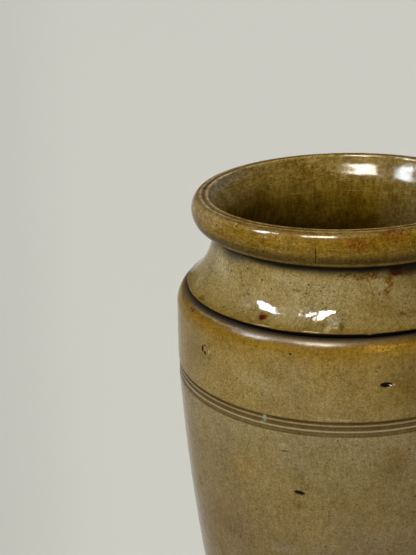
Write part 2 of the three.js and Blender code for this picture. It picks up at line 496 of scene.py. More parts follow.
# The potter's hand: how far the thrown clay strays from a true turned shape
hand = {
    "sway": 0.35 * mm,                                    # slow out-of-round
    "dent": 0.16 * mm,                                    # soft finger dents
    "ring": 0.06 * mm, "neckRing": 0.03 * mm, "rimRing": 0.015 * mm,      # fine turning rings outside
    "ridge": 0.40 * mm, "neckRidge": 0.10 * mm, "rimRidge": 0.02 * mm,    # broader finger ridges inside
    "wander": 0.7 * mm,                                   # the incised lines run up and down
    "nick": 0.30 * mm,                                    # small nicks along the collar's edge
    "collarTip": -0.012, "neckTip": -0.012, "neckDrop": -0.25 * mm,       # the upper rings tip and sink
    "lipTip": (0.003, -0.022),
    "press": 1.3 * mm, "pressReach": 34 * mm,             # the collar's edge is pushed in at the back left
    "pressPlace": (-0.0721, 0.0291, 0.257),
    "settled": 30 * mm,                                   # below this it strays less, down to the flat foot
    "axisReach": 5 * mm,                                  # and nearer the axis than this
    "merged": 0.002 * mm, "sharpFrom": radians(38),
}
# The noises of its strays: scale, detail, squeeze across the axis and seed
strays = {
    "sway": (7.0, 1.0, 1.0, 0.0), "dent": (38.0, 2.0, 1.0, 3.0), "ring": (330.0, 2.0, 0.012, 1.7),
    "ridge": (95.0, 1.0, 0.05, 5.1), "wander": (16.0, 2.0, 1.0, 8.3), "nick": (260.0, 3.0, 1.0, 4.4),
}
# Where each of these acts: the levels from nothing to full, and from full to nothing
zones = {
    "collarTip": (neckFoot - 16 * mm, neckFoot - 2 * mm, neckFoot + 10 * mm, rimFoot - 2 * mm),
    "neckTip": (neckFoot + 10 * mm, rimFoot - 2 * mm, rimFoot + 4 * mm, rimFoot + 12 * mm),
    "wander": (bandFoot - 6 * mm, bandFoot - 1 * mm, linesTop + 1 * mm, linesTop + 6 * mm),
    "nick": (edgeLevel - 1.2 * mm, edgeLevel - 0.3 * mm, edgeLevel + 0.4 * mm, edgeLevel + 1.6 * mm),
}
lipZone = (rimFoot + 4 * mm, rimFoot + 12 * mm)
throwingInputs = (
    ("Outline", "NodeSocketGeometry", None), ("Segments", "NodeSocketInt", wall["segments"]),
    ("Glaze", "NodeSocketMaterial", None), ("Sway", "NodeSocketFloat", hand["sway"]),
    ("Dent", "NodeSocketFloat", hand["dent"]), ("Ring", "NodeSocketFloat", hand["ring"]),
    ("Ridge", "NodeSocketFloat", hand["ridge"]), ("Press", "NodeSocketFloat", 0.0),
)


# A grid wraps round the axis: one column for each outline, one row for each outline point.
def wrapped(graph, outline, segments):
    rows = graph.add("GeometryNodeAttributeDomainSize", {"component": "MESH"}, {"Geometry": outline})
    grid = graph.add("GeometryNodeMeshGrid", None, {"Size X": 1.0, "Size Y": 1.0,
                                                    "Vertices X": segments + 1, "Vertices Y": rows})
    index = graph.add("GeometryNodeInputIndex")
    column = (index / rows + 0.00001).calc("FLOOR")       # the little more keeps a whole number whole
    place = graph.add("GeometryNodeSampleIndex", {"data_type": "FLOAT_VECTOR"}, {
        "Geometry": outline, "Value": graph.add("GeometryNodeInputPosition"),
        "Index": index - column * rows})
    radius, inside, level = graph.parts(place)
    angle = column / segments * (2 * pi)
    around = graph.vector(radius * angle.calc("COSINE"), radius * angle.calc("SINE"), level)
    turned = graph.add("GeometryNodeSetPosition", None, {"Geometry": grid, "Position": around})
    marked = graph.add("GeometryNodeStoreNamedAttribute", {"data_type": "FLOAT_VECTOR", "domain": "POINT"},
                       {"Geometry": turned, "Name": "turned", "Value": place})
    return graph.add("GeometryNodeMergeByDistance", None, {"Geometry": marked, "Distance": hand["merged"]})


# The strays are read from places, so that neighbouring sections agree at their seams.
def strayed(graph, section, given):
    x, y, z = graph.parts(graph.add("GeometryNodeInputPosition"))
    stored = graph.add("GeometryNodeInputNamedAttribute", {"data_type": "FLOAT_VECTOR"}, {"Name": "turned"})
    inside = graph.parts(stored)[1]

    def stray(name):
        scale, detail, squeeze, seed = strays[name]
        where = graph.vector(x * squeeze, y * squeeze, z + seed)
        return graph.add("ShaderNodeTexNoise", {"noise_dimensions": "3D"},
                         {"Vector": where, "Scale": scale, "Detail": detail}) - 0.5

    def within(name):
        low, high, top, end = zones[name]
        return z.ease(low, high) * z.ease(top, end, 1.0, 0.0)

    uneven = (stray("sway") * given["Sway"] + stray("dent") * given["Dent"] + stray("ring") * given["Ring"]
              + stray("ridge") * given["Ridge"] * inside) * 2
    away = graph.add("ShaderNodeVectorMath", {"operation": "DISTANCE"},
                     {0: graph.vector(x, y, z), 1: hand["pressPlace"]}, "Value")
    push = uneven * z.ease(0.0, hand["settled"]) - given["Press"] * away.ease(hand["pressReach"], 0.0)
    aside = push / (x * x + y * y).calc("SQRT").calc("MAXIMUM", hand["axisReach"])
    tip = (y * hand["collarTip"] * within("collarTip")
           + (x * hand["neckTip"] + hand["neckDrop"]) * within("neckTip")
           + (x * hand["lipTip"][0] + y * hand["lipTip"][1]) * z.ease(*lipZone))
    wander = stray("wander") * hand["wander"] * within("wander")
    nicks = stray("nick") * hand["nick"] * within("nick")
    return graph.add("GeometryNodeSetPosition", None, {
        "Geometry": section, "Offset": graph.vector(x * aside, y * aside, tip + wander + nicks)})


def throwingTree():
    tree = bpy.data.node_groups.new("throwing", "GeometryNodeTree")
    sockets = {}
    for name, kind, value in throwingInputs:
        socket = tree.interface.new_socket(name=name, in_out="INPUT", socket_type=kind)
        if value is not None:
            socket.default_value = value
        sockets[name] = socket.identifier
    tree.interface.new_socket(name="Section", in_out="OUTPUT", socket_type="NodeSocketGeometry")
    graph = Graph(tree)
    source = graph.add("NodeGroupInput", output=None)
    given = {name: Flow(graph, source.outputs[name]) for name in sockets}
    moved = strayed(graph, wrapped(graph, given["Outline"], given["Segments"]), given)
    smooth = graph.add("GeometryNodeSetShadeSmooth", {"domain": "FACE"},
                       {"Geometry": moved, "Shade Smooth": True})
    bent = graph.add("GeometryNodeInputMeshEdgeAngle").calc("GREATER_THAN", hand["sharpFrom"])
    sharp = graph.add("GeometryNodeSetShadeSmooth", {"domain": "EDGE"},
                      {"Geometry": smooth, "Shade Smooth": False, "Selection": bent})
    glazed = graph.add("GeometryNodeSetMaterial", None, {"Geometry": sharp, "Material": given["Glaze"]})
    real = graph.add("GeometryNodeRealizeInstances", None, {"Geometry": glazed})
    graph.add("NodeGroupOutput", None, {"Section": real}, None)
    return tree, sockets


throwing, throwingSockets = throwingTree()


def thrown(name, outline, inputs):
    loop = outline if outline[0][0] == 0 else outline + outline[:1]
    mesh = bpy.data.meshes.new(name)
    mesh.from_pydata(loop, [(i, i + 1) for i in range(len(loop) - 1)], [])
    piece = bpy.data.objects.new(name, mesh)
    bpy.context.collection.objects.link(piece)
    modifier = piece.modifiers.new("throwing", "NODES")
    modifier.node_group = throwing
    for key, value in inputs.items():
        modifier[throwingSockets[key]] = value
    bpy.context.view_layer.update()
    ready = bpy.data.meshes.new_from_object(piece.evaluated_get(bpy.context.evaluated_depsgraph_get()))
    piece.modifiers.remove(modifier)
    piece.data = ready
    ready.name = name
    print(name, "has", len(ready.vertices), "points and", len(ready.polygons), "faces")
    return piece


def outerRadius(level):  # of the finished outside, at a level
    return float(np.interp(level, *outsideRun))


# Pits, slots and lumps in the clay itself: degrees round, level, width, height, depth (mm), edge, tilt.
# A lump has a negative depth, and a higher edge has steeper sides.
dents = (
    (-76.9, 234.8, 5.4, 2.1, 1.3, 2.0, 0), (-104.3, 178.6, 5.4, 1.8, 0.5, 2.0, -6),
    (-108.6, 199.7, 5.0, 0.9, 0.35, 2.0, 0), (-141.2, 238.8, 3.4, 5.0, 0.8, 1.4, 0),
    (-138.6, 238.6, 1.8, 4.6, -0.1, 1.0, 0), (-106.5, 248.6, 1.6, 1.5, 0.6, 2.0, 0),
    (-150.4, 160.0, 4.5, 7.0, 0.8, 1.2, 20), (-92.9, 260.9, 9.0, 6.6, -0.7, 1.3, 0),
    (-107.9, 269.3, 6.5, 6.5, -0.35, 1.0, 0), (-119.5, 260.3, 4.6, 4.0, -0.25, 1.4, 0),
    (-99.3, 293.0, 0.9, 17.0, 0.18, 1.4, 0), (-68.4, 281.0, 6.0, 3.6, -0.3, 1.2, 0),
    (-103.7, 275.3, 1.0, 1.0, 0.3, 1.4, 0), (-101.9, 275.3, 1.0, 1.0, 0.3, 1.4, 0),
    (-99.2, 275.1, 1.0, 1.0, 0.3, 1.4, 0), (-95.5, 275.1, 0.9, 0.9, 0.3, 1.4, 0),
    (-131.1, 300.3, 1.2, 1.0, 0.3, 1.4, 0), (-87.4, 301.6, 1.6, 1.2, 0.35, 1.4, 0),
    (-81.4, 256.4, 2.2, 2.6, -0.7, 1.0, 0), (-115.2, 221.0, 3.4, 16.0, -0.12, 1.0, 0),
)
pressing = {
    "reach": 0.8, "margin": 1.0,            # how far out faces count, as a share of the size and in mm
    "facing": 0.1,                          # and only those that face outwards
    "finer": 1.9, "moved": 1.5,             # how far out faces are made finer and points are moved
    "small": 3, "smallCuts": 3, "cuts": 1,  # dents narrower than small, in mm, need more cuts
}


def pressDent(shape, around, level, wide, high, depth, edge, tilt):
    angle, slope = radians(around), radians(tilt)
    radius = outerRadius(level * mm)
    centre = Vector((radius * cos(angle), radius * sin(angle), level * mm))
    outward, side = Vector((cos(angle), sin(angle), 0)), Vector((-sin(angle), cos(angle), 0))
    span = (max(wide, high) * pressing["reach"] + pressing["margin"]) * mm
    close = [face for face in shape.faces if (face.calc_center_median() - centre).length < span
             and face.normal.dot(outward) > pressing["facing"]]
    normal = sum((face.normal for face in close), Vector()).normalized()
    rise = normal.cross(side)
    across, along = side * cos(slope) + rise * sin(slope), rise * cos(slope) - side * sin(slope)

    def places(point):  # 1 at the dent's edges
        away = point - centre
        return away.dot(across) / (wide / 2 * mm), away.dot(along) / (high / 2 * mm)

    near = [face for face in close if max(map(abs, places(face.calc_center_median()))) < pressing["finer"]]
    edges = list(dict.fromkeys(line for face in near for line in face.edges))
    cuts = pressing["smallCuts"] if min(wide, high) < pressing["small"] else pressing["cuts"]
    bmesh.ops.subdivide_edges(shape, edges=edges, cuts=cuts, use_grid_fill=True)
    for point in shape.verts:
        if ((point.co - centre).length < span * pressing["moved"]
                and point.normal.dot(outward) > pressing["facing"]):
            a, b = places(point.co)
            point.co -= normal * (depth * mm * np.exp(-(a * a + b * b) ** edge))


def dented(piece, lowest, highest):
    shape = bmesh.new()
    shape.from_mesh(piece.data)
    for dent in dents:
        if lowest < dent[1] * mm < highest:
            pressDent(shape, *dent)
    shape.to_mesh(piece.data)
    shape.free()


# Colours of the glaze by level (mm): outside, then inside. Outside they hold painted shade under the
# collar's edge and under the roll, with a painted reflection along the roll's lower edge; inside they
# darken downwards as painted shade.
outsideTones = (
    (0, (0.20, 0.125, 0.050)), (22, (0.21, 0.145, 0.058)), (100, (0.215, 0.150, 0.060)),
    (150, (0.210, 0.145, 0.057)), (185, (0.240, 0.176, 0.067)), (207, (0.262, 0.202, 0.092)),
    (217, (0.268, 0.188, 0.060)), (240, (0.288, 0.197, 0.058)), (246, (0.262, 0.165, 0.032)),
    # from 251 up to the collar's edge: painted shade under the collar
    (251, (0.240, 0.132, 0.006)), (255.5, (0.190, 0.100, 0.003)), (256.3, (0.160, 0.095, 0.012)),
    (257.2, (0.215, 0.135, 0.022)), (259, (0.268, 0.190, 0.055)), (263, (0.296, 0.222, 0.082)),
    # from 278 up to 291.4: painted shade on the neck under the roll and on the roll's underside; the pale
    # stop at 288.1 is a painted reflection along its lower edge
    (270, (0.330, 0.252, 0.102)), (278, (0.330, 0.245, 0.092)), (283, (0.220, 0.150, 0.045)),
    (286.4, (0.060, 0.034, 0.005)), (287.8, (0.060, 0.036, 0.003)), (288.1, (0.220, 0.140, 0.030)),
    (288.5, (0.052, 0.031, 0.002)), (291.4, (0.066, 0.040, 0.003)), (291.9, (0.150, 0.094, 0.010)),
    (292.6, (0.170, 0.104, 0.012)), (294.2, (0.185, 0.104, 0.005)), (296.5, (0.222, 0.128, 0.008)),
    (299.5, (0.225, 0.128, 0.008)), (301, (0.270, 0.180, 0.050)),
)
insideTones = (
    # darker downwards: painted shade deep in the mouth
    (0, (0.10, 0.060, 0.018)), (200, (0.050, 0.025, 0.001)), (248, (0.050, 0.025, 0.001)),
    (260, (0.078, 0.043, 0.001)), (270, (0.132, 0.078, 0.005)), (281.6, (0.172, 0.102, 0.009)),
    (282.8, (0.196, 0.118, 0.014)), (290, (0.214, 0.134, 0.019)), (297, (0.232, 0.148, 0.026)),
    (301, (0.280, 0.190, 0.050)),
)
toneWander = (246, 252, 0.030, 0.0)  # their borders run up and down below the shoulder
# The noises in the glaze: scale, detail, seed, squash of its height and roughness
noises = {
    "borders": (55.0, 3.0, 1.3, 1.0, 0.5), "clouds": (24.0, 5.0, 4.0, 0.7, 0.58),
    "greys": (31.0, 5.0, 9.0, 0.8, 0.6), "streaks": (120.0, 3.0, 2.0, 0.14, 0.5),
    "runs": (150.0, 4.0, 2.6, 0.22, 0.65), "drawn": (150.0, 4.0, 12.0, 3.5, 0.6),
    "fleck": (650.0, 3.0, 6.0, 1.0, 0.7), "grain": (1150.0, 2.0, 0.0, 1.0, 0.6),
    "mottle": (330.0, 4.0, 5.0, 1.0, 0.6), "blotch": (70.0, 4.0, 3.3, 1.2, 0.6),
    "woven": (700.0, 1.0, 2.2, 0.22, 0.5), "combed": (330.0, 4.0, 6.6, 4.5, 0.65),
    "clusters": (60.0, 2.0, 3.0, 1.0, 0.5), "clayEdge": (45.0, 3.0, 7.0, 1.0, 0.5),
    "dulled": (70.0, 3.0, 8.0, 1.0, 0.5), "swell": (120.0, 1.0, 1.0, 1.0, 0.5),
    "peel": (260.0, 2.0, 1.0, 1.0, 0.5), "prickle": (900.0, 2.0, 2.0, 1.0, 0.5),
}
# Coats over the tones: colour, and share outside and inside. A coat may follow a noise, between two of
# its values, levels (mm) with the share below and above, a stretch of x (mm) and a line: level, edge, core.
coats = {
    "ochreClouds": {"colour": (0.265, 0.174, 0.044), "share": (0.32, 0.064),
                    "noise": ("clouds", 0.44, 0.68), "levels": ((284, 288, 1, 0.4),)},
    "greyClouds": {"colour": (0.185, 0.152, 0.085), "share": (0.36, 0), "noise": ("greys", 0.44, 0.68),
                   "levels": ((240, 254, 1, 0),)},
    "uprightStreaks": {"colour": (0.130, 0.078, 0.014), "share": (1, 1), "noise": ("streaks", 0.5, 0.75),
                       "levels": ((245, 258, 0.10, 0.22),)},
    "throatRuns": {"colour": (0.070, 0.036, 0.003), "share": (0, 0.55), "noise": ("runs", 0.45, 0.64),
                   "levels": ((282, 285, 1, 0),)},
    # painted light on the left of the funnel, above the throat
    "funnelLeftLight": {"colour": (0.270, 0.185, 0.055), "share": (0, 0.6), "across": (-38, -58),
                   "levels": ((285, 288.5, 0, 1),)},
    # painted sheen on the left of the lip, outside and in
    "lipLeftSheen": {"colour": (0.460, 0.375, 0.220), "share": (0.30, 0.80), "across": (-46, -64),
                "levels": ((293.5, 298, 0, 1),)},
    # painted light on the right of the mouth, inside
    "mouthRightLight": {"colour": (0.245, 0.190, 0.075), "share": (0, 0.65), "across": (12, 50)},
    # painted highlight along the throat's ridge, inside
    "throatHighlight": {"colour": (0.300, 0.220, 0.080), "share": (0, 0.7), "noise": ("greys", 0.42, 0.60),
                   "line": (282.2, 0.5, 0.15)},
    "crestStreaks": {"colour": (0.150, 0.076, 0.002), "share": (0.45, 0.45), "noise": ("drawn", 0.50, 0.62),
                     "levels": ((246, 250, 0, 1), (255, 256, 1, 0))},
    "rollStreaks": {"colour": (0.150, 0.076, 0.002), "share": (0.45, 0.45), "noise": ("drawn", 0.50, 0.62),
                    "levels": ((291.5, 293, 0, 1),)},
    "paleStreaks": {"colour": (0.330, 0.225, 0.060), "share": (0.35, 0.35), "noise": ("drawn", 0.47, 0.38),
                    "levels": ((291.5, 293, 0, 1),)},
    "rimIron": {"colour": (0.20, 0.075, 0.004), "share": (0.35, 0.175), "noise": ("fleck", 0.52, 0.64),
                "levels": ((286, 296, 0, 1),)},
}
# What the marks are: colour, how far their edges wander, and between which values of the flecks they are
# speckled, with the least and the most of their share
rusty, golden = (0.42, 0.60, 0.45, 1.20), (0.42, 0.56, 0.25, 1.35)
stains = {
    "ochre": {"colour": (0.255, 0.168, 0.038), "wander": 7.0 * mm, "speckled": rusty},
    "mauve": {"colour": (0.140, 0.085, 0.042), "wander": 7.0 * mm},
    "toast": {"colour": (0.165, 0.092, 0.008), "wander": 9.0 * mm},
    "ash": {"colour": (0.235, 0.198, 0.122), "wander": 2.4 * mm},
    # a pale veil; at the collar's left it is a painted reflection of the pale backdrop
    "frostAndSheen": {"colour": (0.430, 0.370, 0.200), "wander": 6.0 * mm},
    # gold speckle; on the crest's right it is also a painted reflection of the warm lamp
    "goldAndGlint": {"colour": (0.480, 0.270, 0.035), "wander": 2.0 * mm, "speckled": golden},
    "amber": {"colour": (0.150, 0.068, 0.001), "wander": 4.5 * mm, "speckled": golden},
    "shade": {"colour": (0.088, 0.080, 0.045), "wander": 2.0 * mm},
    # olive stain, and painted shade beside bumps
    "oliveAndShade": {"colour": (0.105, 0.064, 0.008), "wander": 1.6 * mm},
    # painted shade under the roll
    "shadeUnderRoll": {"colour": (0.016, 0.008, 0.001), "wander": 2.0 * mm},
    # pale spots, and painted highlights and reflections
    "paleAndGlint": {"colour": (0.480, 0.390, 0.200), "wander": 1.2 * mm},
    "rust": {"colour": (0.150, 0.040, 0.002), "wander": 2.2 * mm, "speckled": rusty},
    "maroon": {"colour": (0.060, 0.008, 0.001), "wander": 1.4 * mm},
    "iron": {"colour": (0.006, 0.002, 0.001), "wander": 0.5 * mm},
    "pitted": {"colour": (0.110, 0.062, 0.018), "wander": 2.0 * mm, "speckled": (0.46, 0.60, 0.0, 0.75)},
    "chip": {"colour": (0.300, 0.300, 0.215), "wander": 1.0 * mm},
}
shakes = ((5 * mm, 75.0), (1 * mm, 300.0), (0.0, 1100.0))    # edges that wander more than this: noise scale
markDepth = 3.4  # least reach of a mark into the wall (mm)
# Each mark: degrees round, level, width, height (mm), strength, share of it that fades, degrees of tilt
marks = {
    "mauve": (
        (-130, 145.7, 46, 40, 0.4, 1), (-72.6, 190, 26, 30, 0.35, 1), (-103.6, 188, 6, 12, 0.45, 1),
        (35, 90, 60, 50, 0.5, 1), (120, 170, 44, 40, 0.45, 1), (-20, 60, 50, 46, 0.5, 1),
    ),
    "toast": (
        (-56, 272, 50, 44, 0.7, 1), (-86, 238, 24, 18, 0.25, 1), (-66, 294, 28, 11, 0.4, 1),
        (-76, 266, 36, 26, 0.40, 1), (-74, 196, 30, 22, 0.45, 1), (-88, 176, 34, 20, 0.25, 1),
        (-66, 234, 60, 44, 0.7, 1), (-150, 236, 30, 30, 0.4, 1), (60, 240, 70, 40, 0.5, 1),
        (150, 268, 50, 30, 0.5, 1), (-10, 266, 50, 30, 0.4, 1),
    ),
    # painted shade on the neck under the roll
    "shadeUnderRoll": (
        (-115, 283.2, 60, 3.4, 0.8, 1), (-62, 280.5, 40, 10, 0.9, 1), (-80, 282.5, 24, 5, 0.7, 1),
        (-58, 281, 16, 9, 0.9, 1),
    ),
    "ochre": (
        (-123.2, 186.5, 26, 22, 0.75, 1), (-80, 267, 48, 30, 0.65, 1), (-116, 268, 20, 12, 0.3, 1),
        (150, 120, 50, 44, 0.5, 1), (10, 180, 44, 36, 0.5, 1), (-90, 80, 60, 50, 0.4, 1),
    ),
    # the four on the crest's right are gold speckle and a painted reflection of the warm lamp
    "goldAndGlint": (
        (-79, 252.0, 24, 4.6, 1, 0.8), (-62, 251.8, 26, 5.4, 1, 0.8), (-73, 249.5, 14, 3, 0.5, 1),
        (-71, 252.2, 14, 4, 0.6, 1), (-151.5, 258.8, 5, 3.0, 0.6, 0.8),
    ),
    # the first two, at the collar's left, are a painted reflection of the pale backdrop; the rest are
    # weaker pale patches
    "frostAndSheen": (
        (-152, 273, 30, 18, 0.75, 1), (-163, 262, 22, 13, 0.55, 1), (-118, 232, 34, 18, 0.25, 1),
        (-112, 277, 30, 8, 0.3, 1), (-108, 262, 26, 14, 0.25, 1),
    ),
    "amber": (
        (-80.6, 279.1, 20, 4.4, 1, 0.7), (-71.9, 276.6, 5.4, 9, 1, 0.7), (-72.9, 271.6, 4, 11, 0.8, 0.8),
        (-87, 279.8, 16, 2.6, 0.9, 0.8), (-151.9, 258.5, 7, 3.6, 1, 0.8), (-67, 279, 16, 4, 0.8, 0.8),
        (-66, 262.5, 14, 9, 0.7, 1), (-79, 273, 1.6, 14, 0.5, 1), (-75, 266, 1.4, 12, 0.4, 1, 20),
    ),
    "chip": (
        (-115.4, 215.0, 3.0, 5.6, 0.85, 0.7), (-116.4, 212.6, 2.2, 2.6, 0.6, 0.7),
    ),
    "shade": (
        (-143, 281, 38, 11, 1, 1), (-163, 281, 34, 13, 0.7, 1), (-118, 282.6, 44, 6, 0.55, 1),
    ),
    "pitted": (
        (-102.4, 263.4, 9.5, 10, 1.0, 0.3), (-92.7, 261, 9, 7, 0.6, 0.4), (-128, 263, 9, 5, 0.4, 0.8),
    ),
    "ash": (
        (-111, 145.5, 24, 10, 0.6, 1), (-76, 152, 34, 20, 0.35, 1), (-145.4, 277, 9, 7, 0.6, 1),
        (-161, 277, 9, 10, 0.75, 1), (-115.2, 225, 4.4, 13, 0.45, 1), (-93.0, 261.4, 8.5, 6.4, 0.2, 0.6),
    ),
    # painted shade beside the blister and the lump on the collar; the last, low on the wall, is an olive
    # stain
    "oliveAndShade": (
        (-90.6, 259.7, 3.2, 5.8, 1, 0.5), (-92, 257.8, 9, 1.6, 0.6, 0.9),
        (-108.2, 272.6, 7.5, 1.8, 0.7, 1), (-112, 270.5, 2.6, 3.6, 0.6, 1), (-105.1, 171.4, 7, 7, 0.6, 1),
    ),
    # painted highlights: the blister's lit crescent, the two strokes above the top line, the glints at the
    # rim's spots, at a pit on the collar, at the slot and at the crater, and the sheen on the lump beside
    # the blister; painted reflection: the two long thin lines along the shoulder's crest; the blister's
    # middle and the scratch on the wall are pale glaze
    "paleAndGlint": (
        (-95.2, 259.2, 8, 2.6, 1, 0.6, 30), (-93.0, 261.4, 8, 6, 0.45, 0.5),
        (-94.6, 218.7, 4, 1.0, 0.7, 0.6), (-89.4, 218.4, 8, 1.3, 0.8, 0.6),
        (-137, 254.2, 64, 1.0, 0.65, 0.9), (-112, 253.6, 26, 1.2, 0.4, 0.9),
        (-117.6, 298.6, 1.9, 1.4, 0.5, 0.6), (-87.4, 301.8, 1.4, 0.7, 0.8, 0.5),
        (-101.9, 275.3, 2.0, 1.8, 0.5, 0.4), (-107.9, 269.3, 6, 6, 0.5, 1),
        (-109.2, 203.2, 7, 5.5, 0.4, 1), (-74.6, 234.6, 1.4, 1.2, 0.8, 0.5),
        (-138.6, 238.6, 1.8, 3.6, 0.6, 0.6),
    ),
    "rust": (
        (-85, 297.8, 20, 9, 0.95, 1), (-79, 301, 10, 4, 0.8, 1), (-72.5, 300.4, 20, 8, 1, 0.8),
        (-56, 299, 16, 9, 1, 1), (-80.8, 279.1, 15, 1.8, 0.6, 0.6), (-71.7, 275.8, 1.6, 4, 0.6, 0.6),
        (-89, 270.8, 1.1, 1.0, 0.8, 0.5), (-119.4, 260.2, 7, 4.8, 1, 0.5),
        (-151.8, 252.8, 5.4, 2.8, 1, 0.5), (-68.9, 262.7, 7, 6, 0.5, 1),
        (-152.2, 247.6, 4.0, 2.4, 0.6, 0.8), (-123.1, 222.5, 1.4, 2.8, 0.9, 0.6),
        (-82.4, 251.5, 9, 2.6, 0.4, 1), (-69, 251.8, 8, 3.4, 0.4, 1), (-96, 300.5, 30, 2.4, 0.25, 1),
    ),
    "maroon": (
        (-71.9, 302, 1.2, 0.8, 0.9, 0.4), (-71.9, 301.1, 1.0, 0.8, 0.8, 0.4),
        (-68.9, 301.8, 2.0, 0.8, 0.9, 0.5), (-68.4, 280.6, 8.5, 5.6, 1, 0.4),
        (-119.5, 260.1, 4.4, 2.6, 1, 0.5), (-151.3, 252.9, 2.6, 1.8, 0.9, 0.6),
        (-142.4, 238.4, 1.7, 4.6, 1, 0.4), (-140.9, 236.5, 3.4, 1.5, 1, 0.45, -28),
        (-141.2, 240.5, 2.8, 1.3, 1, 0.45, 22), (-138.4, 235.6, 3.6, 1.3, 0.7, 0.6, -35),
    ),
    "iron": (
        (-131.1, 300.3, 1.1, 0.8, 0.9, 0.4), (-141.5, 298, 1.0, 0.8, 0.8, 0.5),
        (-132.5, 295.6, 1.0, 0.9, 0.8, 0.5), (-99.3, 292.4, 0.9, 15, 0.85, 0.9),
        (-102.8, 274, 0.7, 21, 0.4, 0.9, -9), (-77, 278.6, 0.9, 0.8, 0.9, 0.4),
        (-103.7, 275.3, 1.0, 0.9, 0.9, 0.4), (-101.9, 275.3, 0.8, 0.8, 0.9, 0.4),
        (-99.2, 275.1, 0.9, 0.8, 0.9, 0.4), (-97.5, 274.7, 0.8, 0.8, 0.8, 0.4),
        (-95.5, 275.1, 0.8, 0.8, 0.9, 0.4), (-93.4, 273.3, 0.8, 0.8, 0.8, 0.4),
        (-104.3, 271.7, 0.9, 0.8, 0.9, 0.4), (-104.7, 270.3, 0.9, 0.8, 0.8, 0.4),
        (-92.1, 278.4, 0.8, 0.7, 0.8, 0.4), (-80.4, 273.2, 0.9, 0.8, 0.7, 0.4),
        (-132.4, 277.4, 1.5, 1.1, 0.8, 0.5), (-124, 274.4, 1.5, 1.2, 0.8, 0.5),
        (-142.1, 273.7, 1.4, 1.0, 0.7, 0.5), (-135, 272.8, 1.1, 0.9, 0.7, 0.5),
        (-137.3, 259.6, 1.1, 0.9, 0.7, 0.5), (-129, 261.3, 0.9, 0.8, 0.7, 0.5),
        (-127.8, 260.5, 0.9, 0.8, 0.7, 0.5), (-119, 271.4, 1.2, 0.9, 0.8, 0.5),
        (-111.4, 275.4, 1.1, 0.8, 0.8, 0.5), (-115, 264.2, 0.9, 0.8, 0.7, 0.5),
        (-118.1, 249.6, 1.0, 0.9, 0.8, 0.4), (-115.2, 249.7, 0.9, 0.8, 0.8, 0.4),
        (-106.5, 248.6, 1.3, 1.3, 0.95, 0.4), (-125.7, 231.1, 1.4, 1.2, 0.7, 0.5),
        (-79.1, 243.6, 1.6, 1.0, 0.7, 0.5, 40), (-80, 241.8, 1.0, 0.8, 0.7, 0.5),
        (-142.3, 238.6, 0.9, 3.0, 0.7, 0.6), (-103.8, 210.3, 1.1, 0.9, 0.8, 0.4),
        (-69.3, 201.2, 1.4, 1.2, 0.8, 0.5), (-108.6, 199.7, 5.0, 0.8, 0.75, 0.5),
        (-147, 168.5, 2.0, 1.3, 0.8, 0.5), (-87.3, 198.1, 1.2, 1.0, 0.7, 0.5),
        (-81.8, 195.2, 1.3, 1.0, 0.7, 0.5), (-98.2, 195.4, 1.5, 0.8, 0.7, 0.5, -30),
        (-72.5, 166.8, 1.2, 1.4, 0.6, 0.5), (-79.5, 153.6, 1.6, 0.9, 0.6, 0.5),
        (-96.1, 149.9, 1.3, 1.6, 0.6, 0.5), (-90.3, 158.6, 1.0, 1.0, 0.6, 0.5),
        (-111.6, 168.6, 1.3, 1.0, 0.7, 0.5), (-128.8, 143.1, 1.6, 1.2, 0.7, 0.5),
        (-76.9, 234.8, 6.8, 2.8, 1, 0.3), (-104.3, 178.6, 6.4, 2.6, 1, 0.35, -6),
    ),
}
# Fine texture: how strongly each noise tells everywhere, and how much more on the rim and inside
grains = {
    "grain": (1.7, 0.4, -0.9), "mottle": (0.55, 0.5, 0), "blotch": (0.6, 0, 1.2), "woven": (0.45, 0, 0.9),
    "combed": (0.55, 0.8, 1.1),
}
graining = {"rim": (286, 289), "darkest": -0.40, "palest": 0.55, "red": 0.82, "blue": 1.65, "rimBlue": 0.3}
specks = {
    "colour": (0.045, 0.018, 0.003), "clusters": (0.45, 0.62),
    "small": {"scale": 430.0, "seed": 0.0, "size": (0.26, 0.12), "chosen": (0.72, 0.78), "share": 0.65},
    "big": {"scale": 150.0, "seed": 0.4, "size": (0.10, 0.04), "chosen": (0.74, 0.80), "share": 0.8},
    "veinScale": 190.0, "veinWidth": 0.035, "veinWander": 4 * mm, "veinShare": (255, 257, 0.4, 0.7),
}
pooling = {
    "colour": (0.064, 0.036, 0.006), "edge": 1.35, "core": 0.45,      # of each cut, by its width
    "scratch": (0.5 * mm, 0.1 * mm, 0.45), "belt": (4.2 * mm, 2.6 * mm, 0.20),   # edge, core and share
    "least": 0.30, "clouds": 0.8, "mottle": 0.6,                      # how unevenly it pools
    # the crests' colour: thin glaze and a painted highlight
    "ridgeColour": (0.400, 0.330, 0.190), "ridge": (0.45 * mm, 0.12 * mm),
}
# Brightness across the lip, by the share of its width from a little inside the crest
lipStripes = {
    "start": -1 * mm, "width": 8 * mm, "levels": (-2.6 * mm, -1.6 * mm),
    "stops": ((0.0, 1.0), (0.08, 1.5), (0.18, 1.5), (0.24, 0.508), (0.43, 0.547), (0.50, 1.6), (0.58, 1.5),
              (0.64, 0.645), (0.76, 0.781), (0.84, 1.1), (1.0, 1.0)),
}
